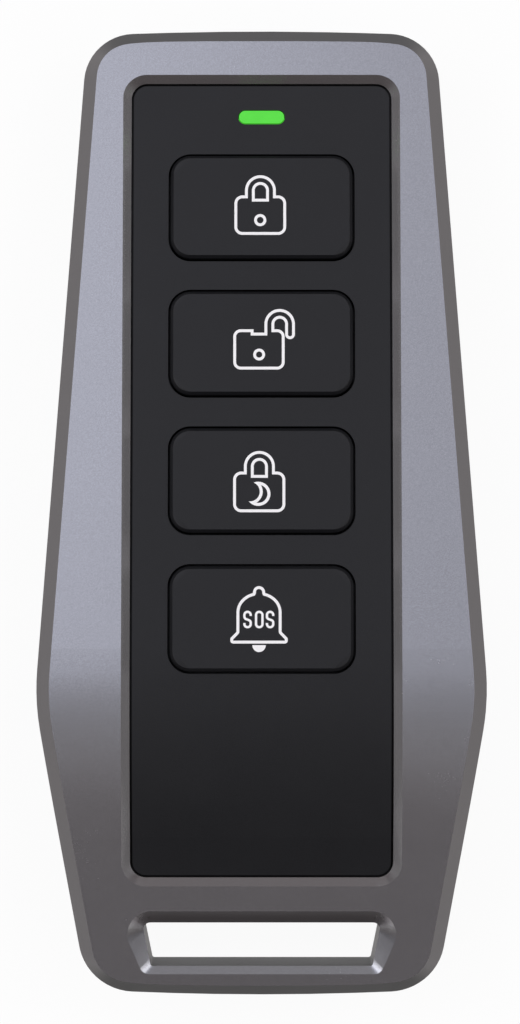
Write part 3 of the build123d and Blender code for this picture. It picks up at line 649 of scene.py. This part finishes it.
def mat_share(key):
    """A key's share of the keypad mat, cut off halfway to the keys beside it."""
    share = bmesh.new()
    share.from_mesh(frame["nodes"]["keypad_mat"].data)
    bmesh.ops.remove_doubles(share, verts=share.verts, dist=SAME_PLACE)
    middle = key_top(key).translation
    for other in KEYS:
        if abs(KEYS.index(other) - KEYS.index(key)) != 1:
            continue
        beyond = key_top(other).translation
        cut = bmesh.ops.bisect_plane(
            share,
            geom=share.verts[:] + share.edges[:] + share.faces[:],
            plane_co=(middle + beyond) / 2,
            plane_no=beyond - middle,
            clear_outer=True,
        )
        rim = [part for part in cut["geom_cut"] if isinstance(part, bmesh.types.BMEdge)]
        bmesh.ops.triangle_fill(share, use_beauty=True, edges=rim)
    bmesh.ops.recalc_face_normals(share, faces=share.faces)
    mesh = bpy.data.meshes.new(f"keypad_mat_{key}")
    share.to_mesh(mesh)
    share.free()
    mesh.materials.append(finishes["mat_silicone"])
    return mesh


def give_way(name, mesh, key, node):
    """Makes a piece that stands for a node, rides with the housing and hides the node."""
    press = presses[key]
    outward = -Vector(press["axis"])
    heights = [vertex.co.dot(outward) for vertex in mesh.vertices]
    foot, top = min(heights), max(heights)
    piece = put(name, mesh)
    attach(piece, "housing")
    1 - max(press["range_m"]) / (top - foot)
    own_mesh(piece)
    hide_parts(node)


for key in KEYS:
    give_way(f"keypad_mat_{key}", mat_share(key), key, "keypad_mat")
    spring_node = f"switch_spring_{key}"
    spring_mesh = frame["nodes"][spring_node].data.copy()
    give_way(f"snap_spring_{key}", spring_mesh, key, spring_node)


# Cover screws with a cross recess

SCREW_SEGMENTS = 48
SOLID_HEAD_RADIUS = 1.4
HEAD_RADIUS = 1.38
HEAD_HEIGHT = 1.0
HEAD_TURNS = ((0.32, 0), (0.12, 0.06), (0.02, 0.2), (0, 0.34), (0, 0.95), (0.05, HEAD_HEIGHT))
THREAD_RADIUS = 0.8
THREAD_DEPTH = 0.12
THREAD_PITCH = 0.6
THREAD_START = 0.1
RINGS_PER_PITCH = 6
POINT_TAPER = 0.25
RECESS_ARM = 0.78
RECESS_HALF_WIDTH = 0.15
RECESS_DEPTH = 0.55
RECESS_FLOOR_SCALE = 0.5


def lathe(mesh, rings):
    """Skins rings of points one after another."""
    rows = [[mesh.verts.new(point) for point in points] for points in rings]
    for row, following in zip(rows, rows[1:]):
        for number in range(len(row)):
            beyond = (number + 1) % len(row)
            mesh.faces.new((row[number], row[beyond], following[beyond], following[number]))
    return rows


def ring_point(part, radius, height):
    """A point of a ring, part of the way round it."""
    turn = 2 * math.pi * part
    return (radius * math.cos(turn), radius * math.sin(turn), height)


def level_ring(radius, height):
    """A round ring of points."""
    return [
        ring_point(number / SCREW_SEGMENTS, radius, height) for number in range(SCREW_SEGMENTS)
    ]


def thread_ring(height, length):
    """A ring of points on the thread, at a height above the head's seat, drawn in at the point."""
    points = []
    drawn_in = POINT_TAPER * (1 - min(1.0, (length - height) / THREAD_PITCH))
    for number in range(SCREW_SEGMENTS):
        part = number / SCREW_SEGMENTS
        phase = (height / THREAD_PITCH + part) % 1
        radius = THREAD_RADIUS - THREAD_DEPTH * abs(2 * phase - 1) - drawn_in
        points.append(ring_point(part, radius, height))
    return points


def cross(scale, height):
    """The outline of the cross recess at a height, at a scale of its size on the head."""
    arm, half = RECESS_ARM * scale, RECESS_HALF_WIDTH * scale
    quarter = [(arm, -half), (arm, half), (half, half)]
    outline = []
    for turn in range(4):
        spin = Matrix.Rotation(math.radians(90 * turn), 2)
        outline += [(*(spin @ Vector(point)), height) for point in quarter]
    return outline


def add_screw(mesh, place, length):
    """One screw with its seat at the place, its head below and its thread above."""
    before = len(mesh.verts)
    crown = -HEAD_HEIGHT
    turns = [level_ring(HEAD_RADIUS - inset, crown + rise) for inset, rise in HEAD_TURNS]
    turns.append(level_ring(THREAD_RADIUS, 0))
    steps = int(length / THREAD_PITCH * RINGS_PER_PITCH)
    for step in range(steps + 1):
        height = THREAD_START + (length - THREAD_START) * step / steps
        turns.append(thread_ring(height, length))
    body = lathe(mesh, turns)
    recess = lathe(mesh, [cross(RECESS_FLOOR_SCALE, crown + RECESS_DEPTH), cross(1, crown)])
    mesh.faces.new(body[-1])
    mesh.faces.new(recess[0][::-1])
    rims = [
        mesh.edges.get((row[number], row[(number + 1) % len(row)]))
        for row in (body[0], recess[1])
        for number in range(len(row))
    ]
    bmesh.ops.triangle_fill(mesh, use_beauty=True, edges=rims)
    mesh.verts.ensure_lookup_table()
    for vert in mesh.verts[before:]:
        vert.co = (vert.co + Vector(place)) * MM


screw_low, screw_high = (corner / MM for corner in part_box("cover_screws"))
screw_x = screw_high.x - SOLID_HEAD_RADIUS
screw_y = (screw_low.y + screw_high.y) / 2
screw_seat = screw_low.z + HEAD_HEIGHT
screw_mesh = bmesh.new()
for side in (-1, 1):
    add_screw(screw_mesh, (side * screw_x, screw_y, screw_seat), screw_high.z - screw_seat)
bmesh.ops.recalc_face_normals(screw_mesh, faces=screw_mesh.faces)
screw_data = bpy.data.meshes.new("cross_head_screws")
screw_mesh.to_mesh(screw_data)
screw_mesh.free()
screw_data.materials.append(finishes["screw_black"])
screws = put("cross_head_screws", screw_data)
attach(screws, "housing")
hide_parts("cover_screws")


# Floor

FLOOR_HALF = 1.5
FLOOR_BELOW = 0.01 * MM
PAPER_GLOW = 0.94


def floor_paper():
    """Pale paper that shows white to the camera and in reflections, and keeps a soft shadow."""
    finish = Finish("floor_paper", Roughness=0.9)
    fibre = finish.grain(1.5, 4.0)
    colour = finish.tint(fibre, shade(0.86, 0.86, 0.86), shade(0.9, 0.9, 0.9))
    finish.set(Base_Color=colour)
    paths = [
        finish.node("ShaderNodeLightPath", {}, {}, name)
        for name in ("Is Camera Ray", "Is Glossy Ray", "Is Transmission Ray")
    ]
    seen = paths[0] + paths[1] + paths[2]
    glow = finish.node("ShaderNodeEmission", {}, {"Color": shade(1, 1, 1), "Strength": 1.0})
    paper = Signal(finish, finish.shader.outputs[0])
    mixed = finish.node("ShaderNodeMixShader", {}, {0: seen * PAPER_GLOW, 1: paper, 2: glow})
    output = finish.tree.nodes["Material Output"]
    finish.tree.links.new(mixed.socket, output.inputs["Surface"])
    return finish.material


floor_corners = [
    (x * FLOOR_HALF, y * FLOOR_HALF, 0) for x, y in ((-1, -1), (1, -1), (1, 1), (-1, 1))
]
floor_mesh = bpy.data.meshes.new("floor")
floor_mesh.from_pydata(floor_corners, [], [(0, 1, 2, 3)])
floor_mesh.materials.append(floor_paper())
floor = put("floor", floor_mesh)
floor.location.z = -FLOOR_BELOW


# Light

COOL = (0.95, 0.97, 1.1)
WARM = (1.02, 0.99, 0.98)
ROOM = shade(0.084, 0.073, 0.071)
SOFTBOX_EDGE = (0.005, 0.55)
SOFTBOX_SIZE = (0.6, 0.41)
SOFTBOX_X = 0.3
SOFTBOX_LEAN = 24
STRIP_EDGE = (-0.16, 0.55)
STRIP_SIZE = (1.2, 0.13)
SIDE_LAMP_SIZE = (0.8, 0.3)
SIDE_LAMP_DISTANCE = 0.6


def area_lamp(name, size, brightness, colour):
    """A rectangular lamp that is equally bright whatever its size."""
    lamp = bpy.data.lights.new(name, "AREA")
    lamp.shape = "RECTANGLE"
    lamp.size, lamp.size_y = size
    lamp.energy = brightness * math.pi * size[0] * size[1]
    lamp.color = colour
    return put(name, lamp)


def softbox(name, near_edge, size, middle_x, lean, brightness, colour):
    """A lamp over the part, with its near edge at a y and z, leaning back from level by degrees."""
    lamp = area_lamp(name, size, brightness, colour)
    slope = math.radians(lean)
    reach = size[1] / 2
    y, z = near_edge
    lamp.location = (middle_x, y + reach * math.cos(slope), z - reach * math.sin(slope))
    lamp.rotation_euler = (-slope, 0, 0)


def side_lamp(name, turn, lean, brightness):
    """A lamp beside the part, in degrees round it from the strap end and down from overhead."""
    lamp = area_lamp(name, SIDE_LAMP_SIZE, brightness, WARM)
    spin = Matrix.Rotation(math.radians(turn), 4, "Z")
    tip = Matrix.Rotation(math.radians(lean), 4, "X")
    lamp.matrix_world = spin @ tip @ Matrix.Translation((0, 0, SIDE_LAMP_DISTANCE))


softbox("softbox_left", SOFTBOX_EDGE, SOFTBOX_SIZE, -SOFTBOX_X, SOFTBOX_LEAN, 1.3, COOL)
softbox("softbox_right", SOFTBOX_EDGE, SOFTBOX_SIZE, SOFTBOX_X, SOFTBOX_LEAN, 0.68, COOL)
softbox("softbox_strap_side", STRIP_EDGE, STRIP_SIZE, 0, 0, 0.19, WARM)
side_lamp("side_lamp_right", 90, 42, 2.1)
side_lamp("side_lamp_left", -90, 42, 1.85)
side_lamp("side_lamp_lamp_end", 180, 62, 0.35)

studio = bpy.data.worlds.new("studio")
studio.use_nodes = True
studio.node_tree.nodes["Background"].inputs["Color"].default_value = ROOM
bpy.context.scene.world = studio
bpy.context.scene.view_settings.view_transform = "Standard"


# Camera

CAMERA_LENS = 98.44
CAMERA_PLACE = (-0.00013, -0.000075, 0.2348)
NEAREST_SEEN = 0.01

lens = bpy.data.cameras.new("camera")
lens.lens = CAMERA_LENS
lens.clip_start = NEAREST_SEEN
camera = put("camera", lens)
camera.location = CAMERA_PLACE
bpy.context.scene.camera = camera
